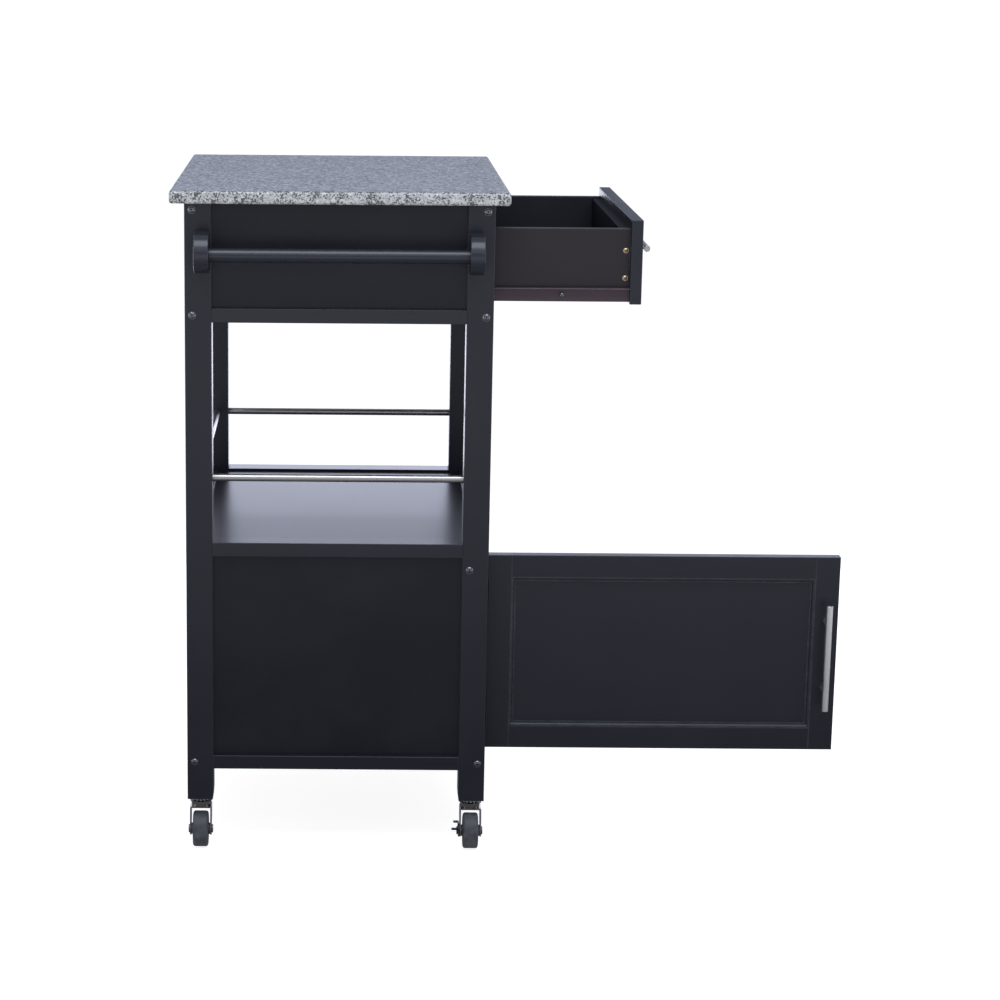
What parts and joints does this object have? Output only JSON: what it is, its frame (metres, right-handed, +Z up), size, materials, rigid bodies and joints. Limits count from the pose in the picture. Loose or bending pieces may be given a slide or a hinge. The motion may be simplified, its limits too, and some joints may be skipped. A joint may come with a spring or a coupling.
{
  "type": "kitchen island cart",
  "caption": "Kitchen island cart: granite worktop on a black wooden frame with towel bar, drawer, open shelf with rods, side-hung cabinet door and swivel casters.",
  "frame": {"origin": "On the floor, under the middle of the whole object's box at rest, with the drawer 200 mm out and the door open at a right angle. The middle of the leg frame is 22 mm along +X and 233.6 mm along +Y from it.", "axes": "+X along the worktop's length, away from the towel bar; -Y is the front, where the drawer and the door open; +Z up, square to the worktop"},
  "size_m": [0.644, 0.9172, 0.9115],
  "materials": {
    "granite": "polished",
    "black_paint": "satin",
    "black_inside": "satin",
    "steel_rod": "satin",
    "nickel_pull": "satin",
    "brown_slide": "satin",
    "brass_screw": "satin",
    "dark_bolt": "satin",
    "zinc": "satin",
    "caster_steel": "polished",
    "black_steel": "satin",
    "wheel_rubber": "matte",
    "nylon": "matte",
    "brown_plastic": "matte"
  },
  "bodies": {
    "carcass": {"granite_top": "granite", "leg_front_left": "black_paint", "leg_front_right": "black_paint", "leg_back_left": "black_paint", "leg_back_right": "black_paint", "end_rails_left": "black_paint", "end_rails_right": "black_paint", "bottom_rail_front": "black_paint", "shelf_rail_front": "black_paint", "drawer_rail_front": "black_paint", "top_rail_front": "black_paint", "back_rails": "black_paint", "door_stop_rail": "black_paint", "lower_end_panels": "black_paint", "upper_end_panels": "black_paint", "lower_back_panel": "black_paint", "upper_back_panel": "black_paint", "shelf_board": "black_paint", "cabinet_floor": "black_paint", "towel_bar": "black_paint", "towel_brackets": "black_paint", "top_cleats": "black_inside", "gallery_rods": "steel_rod", "cabinet_slides": "brown_slide", "frame_bolts": "dark_bolt", "barrel_nuts": "zinc", "leg_inserts": "zinc", "caster_balls": "zinc", "caster_stems": "caster_steel", "hinge_frame_leaves": "black_steel", "magnetic_catch": "brown_plastic"},
    "drawer": {"drawer_front": "black_paint", "drawer_inner_front": "black_inside", "drawer_back": "black_inside", "drawer_side_left": "black_inside", "drawer_side_right": "black_inside", "drawer_bottom": "black_inside", "drawer_screws": "brass_screw", "drawer_slides": "brown_slide", "drawer_pull": "nickel_pull"},
    "door": {"door_stiles": "black_paint", "door_rails": "black_paint", "door_panel": "black_paint", "door_beads": "black_paint", "door_pull": "nickel_pull", "strike_plate": "zinc", "hinge_door_leaves": "black_steel"},
    "front_rollers": {"front_rollers": "nylon"},
    "back_rollers": {"back_rollers": "nylon"},
    "caster_front_left": {"caster_fork_front_left": "caster_steel"},
    "wheel_front_left": {"caster_wheel_front_left": "wheel_rubber"},
    "caster_front_right": {"caster_fork_front_right": "caster_steel"},
    "wheel_front_right": {"caster_wheel_front_right": "wheel_rubber"},
    "caster_back_left": {"caster_fork_back_left": "caster_steel"},
    "wheel_back_left": {"caster_wheel_back_left": "wheel_rubber"},
    "caster_back_right": {"caster_fork_back_right": "caster_steel"},
    "wheel_back_right": {"caster_wheel_back_right": "wheel_rubber"},
    "brake_left": {"brake_lever_left": "black_steel"},
    "brake_right": {"brake_lever_right": "black_steel"}
  },
  "joints": [
    {"name": "drawer_slide", "type": "slide", "parent": "carcass", "child": "drawer", "axis": [0, -1, 0], "range_m": [-0.2, 0.062]},
    {"name": "front_roller_spin", "type": "hinge", "parent": "carcass", "child": "front_rollers", "pos_m": [0.022, 0.05563, 0.77], "axis": [1, 0, 0], "range_deg": [-1360, 430]},
    {"name": "back_roller_spin", "type": "hinge", "parent": "drawer", "child": "back_rollers", "pos_m": [0.022, 0.18163, 0.7685], "axis": [1, 0, 0], "range_deg": [-1360, 430]},
    {"name": "door_hinge", "type": "hinge", "parent": "carcass", "child": "door", "pos_m": [-0.22175, 0.02763, 0.27455], "axis": [0, 0, -1], "range_deg": [-90, 75]},
    {"name": "swivel_front_left", "type": "hinge", "parent": "carcass", "child": "caster_front_left", "pos_m": [-0.241, 0.04562, 0.06], "axis": [0, 0, 1], "continuous": true},
    {"name": "wheel_spin_front_left", "type": "hinge", "parent": "caster_front_left", "child": "wheel_front_left", "pos_m": [-0.253, 0.04562, 0.025], "axis": [0, 1, 0], "continuous": true},
    {"name": "swivel_front_right", "type": "hinge", "parent": "carcass", "child": "caster_front_right", "pos_m": [0.285, 0.04562, 0.06], "axis": [0, 0, 1], "continuous": true},
    {"name": "wheel_spin_front_right", "type": "hinge", "parent": "caster_front_right", "child": "wheel_front_right", "pos_m": [0.273, 0.04562, 0.025], "axis": [0, 1, 0], "continuous": true},
    {"name": "swivel_back_left", "type": "hinge", "parent": "carcass", "child": "caster_back_left", "pos_m": [-0.241, 0.42163, 0.06], "axis": [0, 0, 1], "continuous": true},
    {"name": "wheel_spin_back_left", "type": "hinge", "parent": "caster_back_left", "child": "wheel_back_left", "pos_m": [-0.253, 0.42163, 0.025], "axis": [0, 1, 0], "continuous": true},
    {"name": "swivel_back_right", "type": "hinge", "parent": "carcass", "child": "caster_back_right", "pos_m": [0.285, 0.42163, 0.06], "axis": [0, 0, 1], "continuous": true},
    {"name": "wheel_spin_back_right", "type": "hinge", "parent": "caster_back_right", "child": "wheel_back_right", "pos_m": [0.273, 0.42163, 0.025], "axis": [0, 1, 0], "continuous": true},
    {"name": "brake_pedal_left", "type": "hinge", "parent": "caster_front_left", "child": "brake_left", "pos_m": [-0.253, 0.04562, 0.025], "axis": [0, 1, 0], "range_deg": [0, 20]},
    {"name": "brake_pedal_right", "type": "hinge", "parent": "caster_front_right", "child": "brake_right", "pos_m": [0.273, 0.04562, 0.025], "axis": [0, 1, 0], "range_deg": [0, 20]}
  ],
  "couplings": [
    {"joint": "front_roller_spin", "follows": "drawer_slide", "rad_per_m": 117.65},
    {"joint": "back_roller_spin", "follows": "drawer_slide", "rad_per_m": 117.65}
  ]
}
